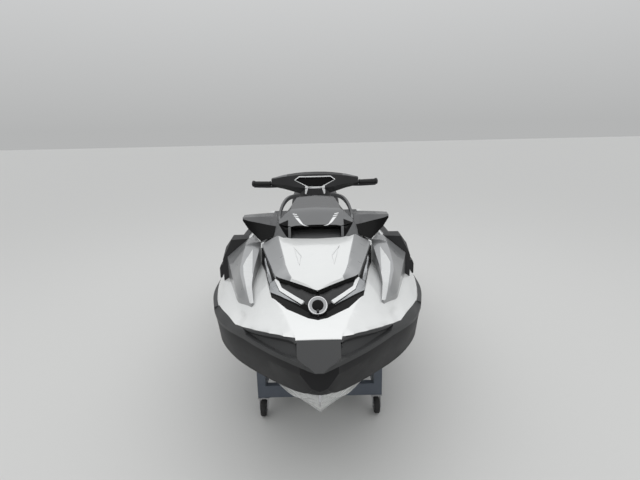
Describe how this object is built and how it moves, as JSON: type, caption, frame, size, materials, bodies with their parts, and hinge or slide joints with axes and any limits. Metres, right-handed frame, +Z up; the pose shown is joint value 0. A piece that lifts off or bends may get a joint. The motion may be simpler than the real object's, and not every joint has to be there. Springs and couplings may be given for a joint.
{
  "type": "personal watercraft on a wheeled cradle",
  "caption": "Runabout personal watercraft with storage hood, mirrors, handlebar, straddle seat and jet pump, standing in a steel cradle on swivel casters",
  "frame": {"origin": "on the floor under the middle of the craft's length, where the cradle's casters stand", "axes": "+Z up, -Y towards the bow, +X towards the craft's port side, which is on the right when seen from the bow"},
  "size_m": [1.2588, 3.45, 1.426],
  "materials": {
    "hull_gelcoat": "glossy gelcoat, white bottom and dark topsides",
    "deck_gelcoat": "glossy white gelcoat",
    "bumper_plastic": "satin dark grey",
    "black_plastic": "gloss black",
    "textured_black": "grained black",
    "hood_paint": "white centre, silver-grey sides",
    "fairing_paint": "silver outer, white inner",
    "cowl_plastic": "gloss dark grey",
    "bin_plastic": "plain",
    "mirror": "mirror",
    "badge_metal": "bare disc",
    "gauge_face": "dark screen",
    "vinyl": "stitched black vinyl",
    "mat_foam": "grooved foam",
    "grip_rubber": "ribbed",
    "bar_alloy": "black anodised",
    "pump_alloy": "cast",
    "impeller_steel": "brushed",
    "stainless": "brushed",
    "engine_alloy": "plain block",
    "pump_plastic": "black",
    "cradle_paint": "dark blue-grey paint",
    "bunk_carpet": "carpet",
    "caster_steel": "zinc",
    "caster_tyre": "plain rubber"
  },
  "bodies": {
    "craft": {"hull": "hull_gelcoat", "deck": "deck_gelcoat", "bow_bumper": "bumper_plastic", "rub_rails": "bumper_plastic", "storage_bin": "bin_plastic", "front_panel": "black_plastic", "badge": "badge_metal", "fairing_left": "fairing_paint", "fairing_right": "fairing_paint", "bolster_pads": "textured_black", "console": "black_plastic", "seat_front": "vinyl", "seat_rear": "vinyl", "grab_handle": "textured_black", "traction_mats": "mat_foam", "gunwale_pads": "textured_black", "pump_housing": "pump_alloy", "venturi": "pump_alloy", "intake_grate": "pump_alloy", "ride_plate": "pump_alloy", "sponsons": "textured_black", "engine_block": "engine_alloy", "bow_eye": "stainless", "stern_eyes": "stainless", "trolley_frame": "cradle_paint", "trolley_bunks": "bunk_carpet"},
    "hood_lid": {"hood": "hood_paint", "dash_cowl": "cowl_plastic", "mirror_left": "cowl_plastic", "mirror_right": "cowl_plastic", "mirror_glass": "mirror", "gauge": "gauge_face"},
    "steering_bar": {"handlebar": "bar_alloy", "grips": "grip_rubber", "handlebar_cover": "textured_black", "levers": "bar_alloy"},
    "nozzle": {"steering_nozzle": "pump_plastic"},
    "bucket": {"reverse_bucket": "pump_plastic"},
    "impeller": {"impeller": "impeller_steel"},
    "fork_front_left": {"caster_fork_front_left": "caster_steel"},
    "wheel_front_left": {"caster_wheel_front_left": "caster_tyre"},
    "fork_front_right": {"caster_fork_front_right": "caster_steel"},
    "wheel_front_right": {"caster_wheel_front_right": "caster_tyre"},
    "fork_rear_left": {"caster_fork_rear_left": "caster_steel"},
    "wheel_rear_left": {"caster_wheel_rear_left": "caster_tyre"},
    "fork_rear_right": {"caster_fork_rear_right": "caster_steel"},
    "wheel_rear_right": {"caster_wheel_rear_right": "caster_tyre"}
  },
  "joints": [
    {"name": "hood_lift", "type": "hinge", "parent": "craft", "child": "hood_lid", "pos_m": [0, -1.38, 0.9939], "axis": [1, 0, 0], "range_deg": [0, 50]},
    {"name": "handlebar_steer", "type": "hinge", "parent": "craft", "child": "steering_bar", "pos_m": [0, -0.463, 1.195], "axis": [0, 0.6428, 0.766], "range_deg": [-30, 30]},
    {"name": "nozzle_steer", "type": "hinge", "parent": "craft", "child": "nozzle", "pos_m": [0, 1.5, 0.44], "axis": [0, 0, 1], "range_deg": [-20, 20]},
    {"name": "bucket_tilt", "type": "hinge", "parent": "craft", "child": "bucket", "pos_m": [0, 1.407, 0.44], "axis": [1, 0, 0], "range_deg": [-48, 0]},
    {"name": "impeller_spin", "type": "hinge", "parent": "craft", "child": "impeller", "pos_m": [0, 1.275, 0.44], "axis": [0, 1, 0], "continuous": true},
    {"name": "caster_swivel_front_left", "type": "hinge", "parent": "craft", "child": "fork_front_left", "pos_m": [0.345, -0.82, 0.1], "axis": [0, 0, 1], "continuous": true},
    {"name": "caster_roll_front_left", "type": "hinge", "parent": "fork_front_left", "child": "wheel_front_left", "pos_m": [0.345, -0.852, 0.05], "axis": [1, 0, 0], "continuous": true},
    {"name": "caster_swivel_front_right", "type": "hinge", "parent": "craft", "child": "fork_front_right", "pos_m": [-0.345, -0.82, 0.1], "axis": [0, 0, 1], "continuous": true},
    {"name": "caster_roll_front_right", "type": "hinge", "parent": "fork_front_right", "child": "wheel_front_right", "pos_m": [-0.345, -0.852, 0.05], "axis": [1, 0, 0], "continuous": true},
    {"name": "caster_swivel_rear_left", "type": "hinge", "parent": "craft", "child": "fork_rear_left", "pos_m": [0.345, 1.04, 0.1], "axis": [0, 0, 1], "continuous": true},
    {"name": "caster_roll_rear_left", "type": "hinge", "parent": "fork_rear_left", "child": "wheel_rear_left", "pos_m": [0.345, 1.008, 0.05], "axis": [1, 0, 0], "continuous": true},
    {"name": "caster_swivel_rear_right", "type": "hinge", "parent": "craft", "child": "fork_rear_right", "pos_m": [-0.345, 1.04, 0.1], "axis": [0, 0, 1], "continuous": true},
    {"name": "caster_roll_rear_right", "type": "hinge", "parent": "fork_rear_right", "child": "wheel_rear_right", "pos_m": [-0.345, 1.008, 0.05], "axis": [1, 0, 0], "continuous": true}
  ],
  "couplings": [
    {"joint": "nozzle_steer", "follows": "handlebar_steer", "ratio": -0.6667}
  ]
}
